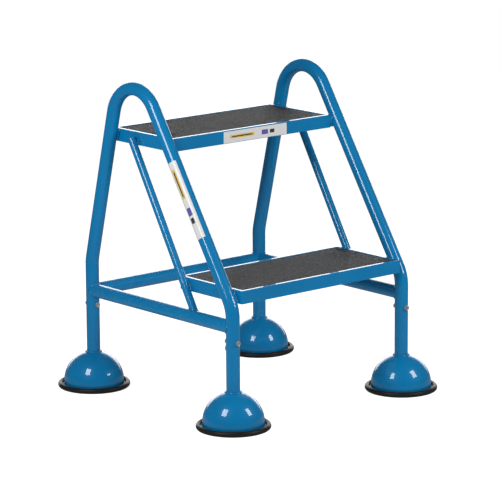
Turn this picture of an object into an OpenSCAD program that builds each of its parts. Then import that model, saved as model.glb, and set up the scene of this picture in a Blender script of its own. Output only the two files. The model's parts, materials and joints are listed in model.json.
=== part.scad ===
// Two-tread welded tube step on four domed feet with sprung swivel castors.
// Millimetres, +Z up. The climbing side faces -Y and +X is to the climber's right.
// The origin is on the floor, at the centre between the four legs.

/* [Side frames] */
// Distance between the centre planes of the two side hoops
frame_w = 442; // [400:1:520]
// Distance between the front and the rear leg centrelines
frame_d = 435; // [415:1:470]
// Outside diameter of the frame tube
tube_d = 26.9; // [25:0.1:27.5]
// Wall thickness of every frame tube
tube_wall = 1.5; // [1.2:0.1:1.6]
// Backward lean of the front leg above its bend, in degrees from upright
front_lean = 33; // [31:0.5:35]
// Height at which the two straight parts of the front leg would meet
front_bend_z = 235; // [235:1:245]
// Forward lean of the rear leg above its bend, in degrees from upright
rear_lean = 14; // [12:0.5:15]
// Height at which the two straight parts of the rear leg would meet
rear_bend_z = 261; // [245:1:280]
// Centreline radius of the leg bends
leg_bend_r = 72; // [60:1:74]
// Centreline radius of the hoop at the top
hoop_r = 68.5; // [60:0.5:75]
// Height of the centre of the side and rear rails
rail_z = 199; // [195:1:200]

/* [Treads] */
// Depth of one tread, front to back
tread_d = 186; // [175:1:190]
// Height of the rim of the lower tread
low_tread_z = 269.5; // [262:0.5:280]
// Front edge of the lower tread
low_tread_front_y = -229; // [-231:1:-224]
// Height of the rim of the upper tread
top_tread_z = 536.5; // [530:0.5:545]
// Front edge of the upper tread
top_tread_front_y = -24; // [-32:1:-20]
// Height of a tread's side faces
tread_h = 26; // [24:0.5:30]
// Thickness of the tread frame's rim
rim_t = 8; // [4:0.5:9]
// Width of the ledge that carries the board
ledge_w = 18; // [14:1:24]
// Radius of a tread's upright corners
tread_corner_r = 3; // [2:0.5:9]

/* [Braces] */
// Outside diameter of the brace tubes
brace_d = 15.9; // [12:0.1:17]
// Where a brace's centreline crosses the height of the side rail
brace_foot_y = -101.5; // [-105:0.5:-95]
// Lean of the braces, in degrees from upright
brace_lean = 30.8; // [29:0.1:32]

/* [Feet] */
// Outside diameter of a foot dome
dome_d = 121; // [112:1:128]
// Height of the centre of the dome's curve
dome_centre_z = 13; // [9:0.5:14]
// Thickness of the dome's sheet
dome_t = 2; // [1.5:0.1:2.5]
// Outside diameter of a rubber floor ring
ring_d = 146; // [144:1:150]
// Height of a floor ring
ring_h = 11; // [8:0.5:12]
// Height of the bolt through each leg
bolt_z = 170; // [166:1:174]

/* [Castors] */
// Diameter of a castor wheel
wheel_d = 38; // [34:1:40]
// Width of a castor wheel
wheel_w = 14; // [12:1:16]
// Distance from the swivel axis to the wheel's axle
trail = 15; // [10:1:16]
// How far a castor springs out below its floor ring
castor_travel = 8; // [5:1:8]

/* [Hidden] */
$fn = 64;

paint_blue = [0.10, 0.42, 0.68];
grip_grey = [0.24, 0.24, 0.25];
rubber_black = [0.08, 0.08, 0.09];
zinc = [0.78, 0.79, 0.80];
nylon_white = [0.88, 0.88, 0.84];
wheel_grey = [0.45, 0.46, 0.47];
ply_brown = [0.62, 0.47, 0.30];
label_white = [0.93, 0.93, 0.92];

LEFT = -1;
RIGHT = 1;
FRONT = -1;
REAR = 1;

// Gap left between parts before welding, and between a pressed-in part and its seat
fit_gap = 0.1;
press_gap = 0.05;
// Radial clearance of everything that turns or slides
running_gap = 0.05;
// How far a cutting shape passes beyond the shape it cuts
over = 1;

tube_r = tube_d / 2;
tube_bore_r = tube_r - tube_wall;
// How far a straight length laps into a bend, and how much fuller the bend's wall is on each side
bend_lap = 1;
bend_fullness = 0.05;

// The two leaning runs of a hoop, carried on upward, would meet at the apex
front_slope = tan(front_lean);
rear_slope = tan(rear_lean);
apex_z = (frame_d + front_slope * front_bend_z + rear_slope * rear_bend_z) / (front_slope + rear_slope);
hoop_turn = 180 - front_lean - rear_lean;
// Length from a corner to the start of the bend that rounds it
hoop_setback = hoop_r * tan(hoop_turn / 2);
front_setback = leg_bend_r * tan(front_lean / 2);
rear_setback = leg_bend_r * tan(rear_lean / 2);
front_run = (apex_z - front_bend_z) / cos(front_lean) - front_setback - hoop_setback;
rear_run = (apex_z - rear_bend_z) / cos(rear_lean) - rear_setback - hoop_setback;

tread_w = frame_w - tube_d - 2 * fit_gap;
ledge_t = 4;
grip_t = 1.5;
grip_recess = 0.5;
grip_inset = 2;
board_gap = 0.5;
inner_corner_r = 1.5;
board_t = tread_h - ledge_t - grip_t - grip_recess;

brace_wall = 1.2;
brace_x = tread_w / 2 + fit_gap + brace_d / 2;
// The brace stops half-way up the side face of the upper tread
brace_top_z = top_tread_z - tread_h / 2;

dome_r = dome_d / 2;
brim_z = 3;
brim_r = dome_r + 8;
ring_edge_r = ring_h / 2;
leg_end_z = dome_centre_z + sqrt(pow(dome_r - dome_t, 2) - pow(tube_r, 2)) - 4;

bolt_r = 3;
bolt_hole_r = 3.2;
bolt_head_af = 10;
bolt_head_h = 4;
nut_h = 5;
bolt_tail = 2;

stem_r = 5.5;
bush_flange_h = 3;
bush_h = 30;
bush_top_z = leg_end_z + bush_h;
stem_head_r = tube_bore_r - 0.7;
stem_head_h = 4;
// The head comes to rest just above the bush at the end of the castor's travel
stop_gap = 0.1;
stem_head_z = bush_top_z + castor_travel + stop_gap;
stem_shoulder_r = 9;
stem_shoulder_h = 2;
spigot_r = 4;
spigot_head_r = 6.5;
spigot_head_h = 2.5;
crown_r = 12;
crown_t = 3;
crown_z = wheel_d + 9;
crown_play = 0.1;
cheek_t = 2.5;
cheek_gap = 1;
cheek_boss_r = 8;
axle_r = 3;
axle_head_r = 4.5;
axle_head_h = 1.5;
wheel_r = wheel_d / 2;
wheel_chamfer = 2;
wheel_recess = 2.5;
hub_r = 7;
tyre_depth = 5;

plug_h = 24;
plug_z = bolt_z - plug_h / 2;
spring_wire_r = 1.1;
spring_r = 8.3;
spring_turns = 7;
spring_steps = 18;
spring_sides = 6;
spring_low_z = stem_head_z + stem_head_h + press_gap;
spring_high_z = plug_z - press_gap;

label_t = 0.3;
glue_t = 0.05;
top_label_w = 164;
top_label_h = 23;
top_label_x = 5;
// How far the front label's lower edge is above the tread's
top_label_lift = 1;
hoop_label_start = 128;
hoop_label_length = 162;
hoop_label_angle = 106;
hoop_label_facing = 189;

// ---- Tube work ----

module ring_section(outer_r, bore_r) {
    difference() {
        circle(r = outer_r);
        circle(r = bore_r);
    }
}

// A straight length of frame tube that runs up from the origin; its children go on from its top.
// It laps into whatever comes before and after it.
module straight(length, before = bend_lap, after = bend_lap) {
    translate([0, 0, -before])
        linear_extrude(length + before + after)
            ring_section(tube_r, tube_bore_r);
    translate([0, 0, length])
        children();
}

// A length of frame tube bent from upward towards +Y; its children go on from its far end.
// Its wall is a touch fuller than the straight tube's, so the laps lie inside it.
module bend(bend_r, turn) {
    translate([0, bend_r, 0])
        rotate([0, -90, 0])
            rotate([0, 0, -90])
                rotate_extrude(angle = turn)
                    translate([bend_r, 0])
                        ring_section(tube_r + bend_fullness, tube_bore_r - bend_fullness);
    translate([0, bend_r * (1 - cos(turn)), bend_r * sin(turn)])
        rotate([-turn, 0, 0])
            children();
}

// One bent tube, followed from the front foot up, over the hoop and down to the rear foot
module hoop_tube() {
    translate([0, FRONT * frame_d / 2, leg_end_z])
        straight(front_bend_z - front_setback - leg_end_z, before = 0)
            bend(leg_bend_r, front_lean)
                straight(front_run)
                    bend(hoop_r, hoop_turn)
                        straight(rear_run)
                            bend(leg_bend_r, rear_lean)
                                straight(rear_bend_z - rear_setback - leg_end_z, after = 0);
}

module leg_bolt_bore(end) {
    translate([0, end * frame_d / 2, bolt_z])
        rotate([90, 0, 0])
            cylinder(r = bolt_hole_r, h = tube_d + 2 * over, center = true);
}

module side_hoop(side) {
    color(paint_blue)
        translate([side * frame_w / 2, 0, 0])
            difference() {
                hoop_tube();
                leg_bolt_bore(FRONT);
                leg_bolt_bore(REAR);
            }
}

// The space that one upright leg takes up, with the fit-up gap around it
module leg_space(side, end) {
    translate([side * frame_w / 2, end * frame_d / 2, rail_z])
        cylinder(r = tube_r + fit_gap, h = 3 * tube_d, center = true);
}

module side_rail_rod(side, radius, length) {
    translate([side * frame_w / 2, 0, rail_z])
        rotate([90, 0, 0])
            cylinder(r = radius, h = length, center = true);
}

// A rail between the front and rear leg of one hoop, coped round both
module side_rail(side) {
    color(paint_blue)
        difference() {
            side_rail_rod(side, tube_r, frame_d);
            side_rail_rod(side, tube_bore_r, frame_d + 2 * over);
            leg_space(side, FRONT);
            leg_space(side, REAR);
        }
}

module rear_rail_rod(radius, length) {
    translate([0, frame_d / 2, rail_z])
        rotate([0, 90, 0])
            cylinder(r = radius, h = length, center = true);
}

// The rail between the rear legs, coped round the legs and the side rails
module rear_rail() {
    color(paint_blue)
        difference() {
            rear_rail_rod(tube_r, frame_w);
            rear_rail_rod(tube_bore_r, frame_w + 2 * over);
            for (side = [LEFT, RIGHT]) {
                leg_space(side, REAR);
                side_rail_rod(side, tube_r + fit_gap, frame_d);
            }
        }
}

module brace_rod(side, radius, low_z, high_z) {
    length = (high_z - low_z) / cos(brace_lean);
    start_y = brace_foot_y + (low_z - rail_z) * tan(brace_lean);
    translate([side * brace_x, start_y, low_z])
        rotate([-brace_lean, 0, 0])
            cylinder(r = radius, h = length);
}

// A leaning tube on the outer side of both treads, coped onto the side rail
module brace(side) {
    color(paint_blue)
        difference() {
            brace_rod(side, brace_d / 2, rail_z, brace_top_z);
            brace_rod(side, brace_d / 2 - brace_wall, rail_z - over, brace_top_z + over);
            side_rail_rod(side, tube_r + fit_gap, frame_d);
        }
}

// ---- Treads ----

// A rounded block centred in X, with its front edge at y = 0 and its top at z = 0
module tread_block(inset, height) {
    corner_r = max(tread_corner_r - inset, inner_corner_r);
    half_w = tread_w / 2 - inset - corner_r;
    hull()
        for (x = [-half_w, half_w])
            for (y = [inset + corner_r, tread_d - inset - corner_r])
                translate([x, y, -height])
                    cylinder(r = corner_r, h = height, $fn = 48);
}

// An angle-section frame: an upright rim with a ledge inside its lower edge
module tread_frame(front_y, rim_z) {
    color(paint_blue)
        translate([0, front_y, rim_z])
            difference() {
                tread_block(0, tread_h);
                translate([0, 0, over])
                    tread_block(rim_t, tread_h - ledge_t + over);
                tread_block(rim_t + ledge_w, tread_h + over);
            }
}

module tread_board(front_y, rim_z) {
    color(ply_brown)
        translate([0, front_y, rim_z - grip_recess - grip_t])
            tread_block(rim_t + board_gap, board_t);
}

module tread_grip(front_y, rim_z) {
    color(grip_grey)
        translate([0, front_y, rim_z - grip_recess])
            tread_block(rim_t + board_gap + grip_inset, grip_t);
}

// ---- Labels ----

module top_tread_label() {
    color(label_white)
        translate([top_label_x - top_label_w / 2, top_tread_front_y - label_t - glue_t, 0])
            translate([0, 0, top_tread_z - tread_h + top_label_lift])
                cube([top_label_w, label_t, top_label_h]);
}

// A strip wrapped part-way round the leaning run of the left hoop's front leg
module hoop_label() {
    bend_end_y = FRONT * frame_d / 2 + front_setback * sin(front_lean);
    bend_end_z = front_bend_z + front_setback * cos(front_lean);
    color(label_white)
        translate([LEFT * frame_w / 2, bend_end_y, bend_end_z])
            rotate([-front_lean, 0, 0])
                translate([0, 0, hoop_label_start])
                    rotate([0, 0, hoop_label_facing - hoop_label_angle / 2])
                        rotate_extrude(angle = hoop_label_angle)
                            translate([tube_r + glue_t, 0])
                                square([label_t, hoop_label_length]);
}

// ---- Feet ----

module at_foot(side, end) {
    translate([side * frame_w / 2, end * frame_d / 2, 0])
        children();
}

module at_every_foot() {
    for (side = [LEFT, RIGHT])
        for (end = [FRONT, REAR])
            at_foot(side, end)
                children();
}

// Half of the outline of a dome with a straight skirt below its curve
module dome_outline(radius) {
    translate([0, brim_z])
        square([radius, dome_centre_z - brim_z]);
    intersection() {
        translate([0, dome_centre_z])
            circle(r = radius);
        translate([0, dome_centre_z])
            square(radius);
    }
}

module dome() {
    color(paint_blue)
        rotate_extrude()
            difference() {
                union() {
                    dome_outline(dome_r);
                    translate([0, brim_z])
                        square([brim_r, dome_t]);
                }
                dome_outline(dome_r - dome_t);
                square([tube_r + fit_gap, dome_d]);
            }
}

// A rubber edging ring with a slot that grips the dome's brim
module floor_ring() {
    edge_centre_r = ring_d / 2 - ring_edge_r;
    inner_r = dome_r + press_gap;
    color(rubber_black)
        rotate_extrude()
            difference() {
                union() {
                    translate([inner_r, 0])
                        square([edge_centre_r - inner_r, ring_h]);
                    translate([edge_centre_r, ring_edge_r])
                        circle(r = ring_edge_r);
                }
                translate([0, brim_z - press_gap])
                    square([brim_r + press_gap, dome_t + 2 * press_gap]);
            }
}

// A bush pressed into the end of the leg, in which the castor stem slides
module guide_bush() {
    color(nylon_white)
        translate([0, 0, leg_end_z])
            difference() {
                union() {
                    cylinder(r = tube_bore_r - press_gap, h = bush_h);
                    translate([0, 0, -bush_flange_h - press_gap])
                        cylinder(r = tube_r - over, h = bush_flange_h);
                    translate([0, 0, -bush_flange_h])
                        cylinder(r = tube_bore_r - over, h = bush_flange_h);
                }
                translate([0, 0, -bush_flange_h - over])
                    cylinder(r = stem_r + running_gap, h = bush_h + bush_flange_h + 2 * over);
            }
}

// The stop that the leg bolt holds above the spring
module spring_plug() {
    color(nylon_white)
        difference() {
            translate([0, 0, plug_z])
                cylinder(r = tube_bore_r - press_gap, h = plug_h);
            translate([0, 0, bolt_z])
                rotate([90, 0, 0])
                    cylinder(r = bolt_hole_r, h = tube_d, center = true);
        }
}

// A point on the wire's surface: step counts along the coil, side counts round the wire
function coil_point(step, side) =
    let (steps = spring_turns * spring_steps,
         turn = 360 * step / spring_steps,
         around = 360 * side / spring_sides,
         low = spring_low_z + spring_wire_r,
         high = spring_high_z - spring_wire_r,
         reach = spring_r + spring_wire_r * cos(around))
    [reach * cos(turn), reach * sin(turn), low + (high - low) * step / steps + spring_wire_r * sin(around)];

module spring() {
    steps = spring_turns * spring_steps;
    sides = spring_sides;
    points = [for (step = [0:steps]) for (side = [0:sides - 1]) coil_point(step, side)];
    skin = [
        for (step = [0:steps - 1])
            for (side = [0:sides - 1])
                let (here = step * sides, next = (side + 1) % sides)
                [here + side, here + sides + side, here + sides + next, here + next]
    ];
    start_cap = [for (side = [0:sides - 1]) side];
    end_cap = [for (side = [sides - 1:-1:0]) steps * sides + side];
    color(zinc)
        polyhedron(points = points, faces = concat(skin, [start_cap, end_cap]));
}

// The stem: a head under the spring, a sliding shank, and a spigot for the swivel
module castor_stem() {
    spigot_low_z = crown_z - crown_t - 2 * crown_play;
    color(zinc) {
        translate([0, 0, stem_head_z])
            cylinder(r = stem_head_r, h = stem_head_h);
        translate([0, 0, crown_z])
            cylinder(r = stem_r, h = stem_head_z - crown_z + over);
        translate([0, 0, crown_z])
            cylinder(r = stem_shoulder_r, h = stem_shoulder_h);
        translate([0, 0, spigot_low_z - over])
            cylinder(r = spigot_r, h = crown_z - spigot_low_z + 2 * over);
        translate([0, 0, spigot_low_z - spigot_head_h])
            cylinder(r = spigot_head_r, h = spigot_head_h);
    }
}

// A cheek of the fork, from the crown down and back to the axle
module fork_cheek() {
    rotate([90, 0, 90])
        linear_extrude(cheek_t)
            hull() {
                translate([trail, wheel_r])
                    circle(r = cheek_boss_r);
                translate([-crown_r / 2, crown_z - crown_play - crown_t])
                    square([crown_r, crown_t]);
            }
}

module castor_fork() {
    cheek_x = wheel_w / 2 + cheek_gap;
    color(zinc)
        difference() {
            union() {
                translate([0, 0, crown_z - crown_play - crown_t])
                    cylinder(r = crown_r, h = crown_t);
                translate([cheek_x, 0, 0])
                    fork_cheek();
                translate([-cheek_x - cheek_t, 0, 0])
                    fork_cheek();
            }
            cylinder(r = spigot_r + running_gap, h = crown_z + over);
            translate([0, trail, wheel_r])
                rotate([0, 90, 0])
                    cylinder(r = axle_r + press_gap, h = frame_w / 2, center = true);
        }
}

module castor_wheel() {
    half_w = wheel_w / 2;
    face_x = half_w - wheel_recess;
    rim_r = wheel_r - tyre_depth;
    bore_r = axle_r + running_gap;
    one_side = [
        [wheel_r, half_w - wheel_chamfer], [wheel_r - wheel_chamfer, half_w], [rim_r, half_w],
        [rim_r - 1, face_x], [hub_r + 1, face_x],
        [hub_r, half_w], [bore_r, half_w]
    ];
    last = len(one_side) - 1;
    other_side = [for (i = [last:-1:0]) [one_side[i][0], -one_side[i][1]]];
    color(wheel_grey)
        translate([0, trail, wheel_r])
            rotate([0, 90, 0])
                rotate_extrude()
                    polygon(concat(one_side, other_side));
}

module castor_axle() {
    head_x = wheel_w / 2 + cheek_gap + cheek_t + press_gap;
    color(zinc)
        translate([0, trail, wheel_r])
            rotate([0, 90, 0]) {
                cylinder(r = axle_r, h = 2 * head_x, center = true);
                translate([0, 0, head_x])
                    cylinder(r = axle_head_r, h = axle_head_h);
                translate([0, 0, -head_x - axle_head_h])
                    cylinder(r = axle_head_r, h = axle_head_h);
            }
}

// ---- Fasteners ----

// One hexagon-head bolt through each leg, front to back, with its head in front
module leg_bolts() {
    shank = tube_d + nut_h + bolt_tail;
    color(zinc)
        at_every_foot()
            translate([0, -tube_r - press_gap, bolt_z])
                rotate([-90, 0, 0]) {
                    cylinder(r = bolt_r, h = shank);
                    translate([0, 0, -bolt_head_h])
                        cylinder(r = bolt_head_af / sqrt(3), h = bolt_head_h, $fn = 6);
                }
}

module leg_nuts() {
    color(zinc)
        at_every_foot()
            translate([0, tube_r + press_gap, bolt_z])
                rotate([-90, 0, 0])
                    difference() {
                        cylinder(r = bolt_head_af / sqrt(3), h = nut_h, $fn = 6);
                        translate([0, 0, -over])
                            cylinder(r = bolt_r + press_gap, h = nut_h + 2 * over);
                    }
}

side_hoop(LEFT);  // side_hoop_left
side_hoop(RIGHT);  // side_hoop_right
side_rail(LEFT);  // side_rail_left
side_rail(RIGHT);  // side_rail_right
rear_rail();
brace(LEFT);  // brace_left
brace(RIGHT);  // brace_right
tread_frame(top_tread_front_y, top_tread_z);  // top_tread_frame
tread_board(top_tread_front_y, top_tread_z);  // top_tread_board
tread_grip(top_tread_front_y, top_tread_z);  // top_tread_grip
tread_frame(low_tread_front_y, low_tread_z);  // low_tread_frame
tread_board(low_tread_front_y, low_tread_z);  // low_tread_board
tread_grip(low_tread_front_y, low_tread_z);  // low_tread_grip
top_tread_label();
hoop_label();
leg_bolts();
leg_nuts();
at_foot(LEFT, FRONT) dome();  // dome_fl
at_foot(RIGHT, FRONT) dome();  // dome_fr
at_foot(LEFT, REAR) dome();  // dome_rl
at_foot(RIGHT, REAR) dome();  // dome_rr
at_foot(LEFT, FRONT) floor_ring();  // floor_ring_fl
at_foot(RIGHT, FRONT) floor_ring();  // floor_ring_fr
at_foot(LEFT, REAR) floor_ring();  // floor_ring_rl
at_foot(RIGHT, REAR) floor_ring();  // floor_ring_rr
at_foot(LEFT, FRONT) guide_bush();  // guide_bush_fl
at_foot(RIGHT, FRONT) guide_bush();  // guide_bush_fr
at_foot(LEFT, REAR) guide_bush();  // guide_bush_rl
at_foot(RIGHT, REAR) guide_bush();  // guide_bush_rr
at_foot(LEFT, FRONT) spring_plug();  // spring_plug_fl
at_foot(RIGHT, FRONT) spring_plug();  // spring_plug_fr
at_foot(LEFT, REAR) spring_plug();  // spring_plug_rl
at_foot(RIGHT, REAR) spring_plug();  // spring_plug_rr
at_foot(LEFT, FRONT) spring();  // spring_fl
at_foot(RIGHT, FRONT) spring();  // spring_fr
at_foot(LEFT, REAR) spring();  // spring_rl
at_foot(RIGHT, REAR) spring();  // spring_rr
at_foot(LEFT, FRONT) castor_stem();  // castor_stem_fl
at_foot(RIGHT, FRONT) castor_stem();  // castor_stem_fr
at_foot(LEFT, REAR) castor_stem();  // castor_stem_rl
at_foot(RIGHT, REAR) castor_stem();  // castor_stem_rr
at_foot(LEFT, FRONT) castor_fork();  // castor_fork_fl
at_foot(RIGHT, FRONT) castor_fork();  // castor_fork_fr
at_foot(LEFT, REAR) castor_fork();  // castor_fork_rl
at_foot(RIGHT, REAR) castor_fork();  // castor_fork_rr
at_foot(LEFT, FRONT) castor_wheel();  // castor_wheel_fl
at_foot(RIGHT, FRONT) castor_wheel();  // castor_wheel_fr
at_foot(LEFT, REAR) castor_wheel();  // castor_wheel_rl
at_foot(RIGHT, REAR) castor_wheel();  // castor_wheel_rr
at_foot(LEFT, FRONT) castor_axle();  // castor_axle_fl
at_foot(RIGHT, FRONT) castor_axle();  // castor_axle_fr
at_foot(LEFT, REAR) castor_axle();  // castor_axle_rl
at_foot(RIGHT, REAR) castor_axle();  // castor_axle_rr
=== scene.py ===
"""Looks for the two-tread mounting step: materials, welds, treads, feet, labels, light and camera."""
import json
import math
import random

import bpy
from mathutils import Matrix, Vector, noise
from mathutils.bvhtree import BVHTree


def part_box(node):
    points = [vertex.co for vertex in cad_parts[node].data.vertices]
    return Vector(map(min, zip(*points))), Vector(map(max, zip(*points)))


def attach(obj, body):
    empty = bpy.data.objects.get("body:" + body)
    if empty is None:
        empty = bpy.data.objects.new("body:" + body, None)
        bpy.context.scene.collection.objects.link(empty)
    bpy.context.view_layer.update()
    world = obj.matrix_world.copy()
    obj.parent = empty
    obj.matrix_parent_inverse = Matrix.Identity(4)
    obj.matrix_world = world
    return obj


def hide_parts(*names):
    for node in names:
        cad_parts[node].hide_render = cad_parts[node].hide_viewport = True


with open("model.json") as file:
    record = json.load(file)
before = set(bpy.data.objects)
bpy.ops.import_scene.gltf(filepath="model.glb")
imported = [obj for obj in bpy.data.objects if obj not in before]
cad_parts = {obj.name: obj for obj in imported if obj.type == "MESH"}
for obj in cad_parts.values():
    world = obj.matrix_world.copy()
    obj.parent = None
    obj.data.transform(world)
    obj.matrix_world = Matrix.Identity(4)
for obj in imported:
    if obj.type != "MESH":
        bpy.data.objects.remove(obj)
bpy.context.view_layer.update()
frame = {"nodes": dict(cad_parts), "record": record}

MM = 0.001
FEET = ("fl", "fr", "rl", "rr")
LEFT, RIGHT = -1, 1
FRONT, REAR = -1, 1

# ---- Sizes that the CAD boxes don't hold ----
RIM_T = 8 * MM
LEDGE_T = 4 * MM
LEDGE_W = 18 * MM
TREAD_CORNER_R = 3 * MM
INNER_CORNER_R = 1.5 * MM
DOME_R = 60.5 * MM
DOME_T = 2 * MM
DOME_CENTRE_Z = 13 * MM
BOLT_R = 3 * MM
BEAD_R = 1.9 * MM
RIPPLE_PITCH = 3.2 * MM

# ---- Camera and light ----
CAMERA_AZIMUTH = -40.6
CAMERA_ELEVATION = 12.2
CAMERA_ROLL = -0.34
CAMERA_DISTANCE = 6.30
CAMERA_LENS = 227.0
CAMERA_SENSOR = 36.0
CAMERA_REACH = 100.0
CAMERA_TARGET = Vector((0.0057, -0.0048, 0.2833))
UP = Vector((0, 0, 1))

# Each softbox: its name, place, width, height and power in watts
SOFTBOXES = (
    ("softbox_left", Vector((-1.605, -0.391, 1.338)), 0.62, 0.86, 20),
    ("softbox_right", Vector((0.669, -1.51, 1.118)), 0.50, 0.78, 14.5),
)
# Brightness of the studio: as the camera sees it, as it lights matt surfaces, and as gloss mirrors
# it. The backdrop's pairs run from the camera's side to behind the object, and the floor's from near
# to far.
BACKDROP_SEEN = 1.05
BACKDROP_LIGHT = (0.13, 0.36)
BACKDROP_MIRRORED = (0.06, 3.2)
FLOOR_SEEN = 0.85
FLOOR_LIGHT = 0.10
FLOOR_MIRRORED = (0.26, 0.07)
# Where the backdrop starts and is full: 1 is straight behind the object, and 0 is beside it
LIGHT_FADE = (0.2, 0.85)
MIRROR_FADE = (0.74, 0.94)
# How far from the middle the mirrored floor starts to fade, and where it has faded, in metres
FLOOR_FADE = (0.4, 1.3)
FLOOR_HALF = 9.0
FLOOR_DROP = 0.2 * MM


# ======== Mesh tools ========

# Edges that turn by more than this, in degrees, stay sharp under smooth shading
SHARP_ANGLE = 35
ROUGH_SHARP_ANGLE = 60
HEX_SHARP_ANGLE = 22
# How far beyond a rounded corner a point keeps the flat next to it flat under smooth shading
OUTLINE_SUPPORT = 0.12 * MM
CORNER_SUPPORT = 0.3 * MM


def add_piece(name, verts, faces, body, material, stands_for=(), sharp=SHARP_ANGLE):
    """A closed mesh that rides on a CAD body."""
    mesh = bpy.data.meshes.new(name)
    mesh.from_pydata([tuple(v) for v in verts], [], faces)
    mesh.validate()
    mesh.update()
    mesh.polygons.foreach_set("use_smooth", [True] * len(mesh.polygons))
    mesh.set_sharp_from_angle(angle=math.radians(sharp))
    obj = bpy.data.objects.new(name, mesh)
    bpy.context.scene.collection.objects.link(obj)
    mesh.materials.append(material)
    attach(obj, body)
    if stands_for:
        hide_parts(*stands_for)
    return obj


def grid_faces(rows, columns, close_rows=False, close_columns=True):
    """Quads between successive rows of points; each row has the same number of points."""
    faces = []
    for i in range(rows if close_rows else rows - 1):
        for j in range(columns if close_columns else columns - 1):
            a = i * columns + j
            b = i * columns + (j + 1) % columns
            c = ((i + 1) % rows) * columns + (j + 1) % columns
            d = ((i + 1) % rows) * columns + j
            faces.append((a, b, c, d))
    return faces


def rounded_outline(corners, steps=5):
    """A closed 2D outline from (x, y, radius) corners, with each corner rounded to its radius."""
    outline = []
    count = len(corners)
    for i, (x, y, radius) in enumerate(corners):
        here = Vector((x, y))
        before = Vector(corners[i - 1][:2])
        after = Vector(corners[(i + 1) % count][:2])
        if radius <= 0:
            outline.append(here)
            continue
        to_before = (before - here).normalized()
        to_after = (after - here).normalized()
        half = to_before.angle(to_after) / 2
        centre = here + (to_before + to_after).normalized() * (radius / math.sin(half))
        setback = radius / math.tan(half)
        start = here + to_before * setback - centre
        end = here + to_after * setback - centre
        first = math.atan2(start.y, start.x)
        turn = (math.atan2(end.y, end.x) - first + math.pi) % (2 * math.pi) - math.pi
        outline.append(centre + start + to_before * OUTLINE_SUPPORT)
        for k in range(steps + 1):
            angle = first + turn * k / steps
            outline.append(centre + Vector((math.cos(angle), math.sin(angle))) * radius)
        outline.append(centre + end + to_after * OUTLINE_SUPPORT)
    return outline


def lathe(name, outline, centre, body, material, stands_for=(), steps=128):
    """Turns a closed (radius, height) outline about the upright line through centre."""
    verts = []
    for k in range(steps):
        angle = 2 * math.pi * k / steps
        for r, z in outline:
            verts.append((centre.x + r * math.cos(angle), centre.y + r * math.sin(angle), z))
    faces = grid_faces(steps, len(outline), close_rows=True)
    return add_piece(name, verts, faces, body, material, stands_for)


def rounded_rectangle(low, high, radius, steps=8):
    """Points round a rectangle with rounded corners, anticlockwise from its lower right corner."""
    points = []
    centres = (
        (high.x - radius, low.y + radius, -90),
        (high.x - radius, high.y - radius, 0),
        (low.x + radius, high.y - radius, 90),
        (low.x + radius, low.y + radius, 180),
    )
    for x, y, start in centres:
        arc = []
        for k in range(steps + 1):
            angle = math.radians(start + 90 * k / steps)
            arc.append(Vector((x + radius * math.cos(angle), y + radius * math.sin(angle))))
        first, last = math.radians(start), math.radians(start + 90)
        points.append(arc[0] + Vector((math.sin(first), -math.cos(first))) * CORNER_SUPPORT)
        points.extend(arc)
        points.append(arc[-1] + Vector((-math.sin(last), math.cos(last))) * CORNER_SUPPORT)
    return points


def sweep(points, radii, closed, sides=10):
    """Vertices and faces of a round bar along a line of points."""
    count = len(points)
    tangents = []
    for i in range(count):
        if closed:
            tangents.append((points[(i + 1) % count] - points[i - 1]).normalized())
        else:
            tangents.append((points[min(i + 1, count - 1)] - points[max(i - 1, 0)]).normalized())
    normal = tangents[0].orthogonal().normalized()
    verts = []
    for point, tangent, radius in zip(points, tangents, radii):
        normal = (normal - tangent * normal.dot(tangent)).normalized()
        side = tangent.cross(normal)
        for k in range(sides):
            angle = 2 * math.pi * k / sides
            verts.append(point + (normal * math.cos(angle) + side * math.sin(angle)) * radius)
    faces = grid_faces(count, sides, close_rows=closed)
    if not closed:
        faces.append(tuple(range(sides))[::-1])
        faces.append(tuple(range((count - 1) * sides, count * sides)))
    return verts, faces


def resample(points, pitch, closed):
    """The same line with points a set pitch apart."""
    line = list(points) + ([points[0]] if closed else [])
    lengths = [(b - a).length for a, b in zip(line, line[1:])]
    total = sum(lengths)
    count = max(int(round(total / pitch)), 4)
    wanted = [total * i / count for i in range(count if closed else count + 1)]
    out, index, travelled = [], 0, 0.0
    for s in wanted:
        while index < len(lengths) - 1 and travelled + lengths[index] < s:
            travelled += lengths[index]
            index += 1
        share = (s - travelled) / max(lengths[index], 1e-9)
        out.append(line[index].lerp(line[index + 1], min(max(share, 0.0), 1.0)))
    return out


# A bead's width: what is always there, and what its ripples and its unevenness add
BEAD_BASE = 0.88
BEAD_RIPPLE = 0.14
BEAD_WANDER = 0.12
BEAD_WANDER_SCALE = 220
# An open bead starts and ends at a share of its width, and fills out from point to point
BEAD_START = 0.35
BEAD_GROWTH = 0.25


def weld_bead(name, points, closed=False, radius=BEAD_R):
    """A rippled weld bead along a line of points, painted over with the frame."""
    pitch = RIPPLE_PITCH / 4
    line = resample(points, pitch, closed)
    radii = []
    for i, point in enumerate(line):
        ripple = abs(math.sin(math.pi * i * pitch / RIPPLE_PITCH))
        wander = noise.noise(point * BEAD_WANDER_SCALE)
        taper = 1.0
        if not closed:
            taper = min(1.0, BEAD_START + BEAD_GROWTH * min(i, len(line) - 1 - i))
        radii.append(radius * taper * (BEAD_BASE + BEAD_RIPPLE * ripple + BEAD_WANDER * wander))
    verts, faces = sweep(line, radii, closed)
    return add_piece(name, verts, faces, "frame", blue_paint, sharp=ROUGH_SHARP_ANGLE)


# ======== Materials ========

# Where the values of the noise texture mostly lie
NOISE_LOW = 0.3
NOISE_HIGH = 0.7


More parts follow.
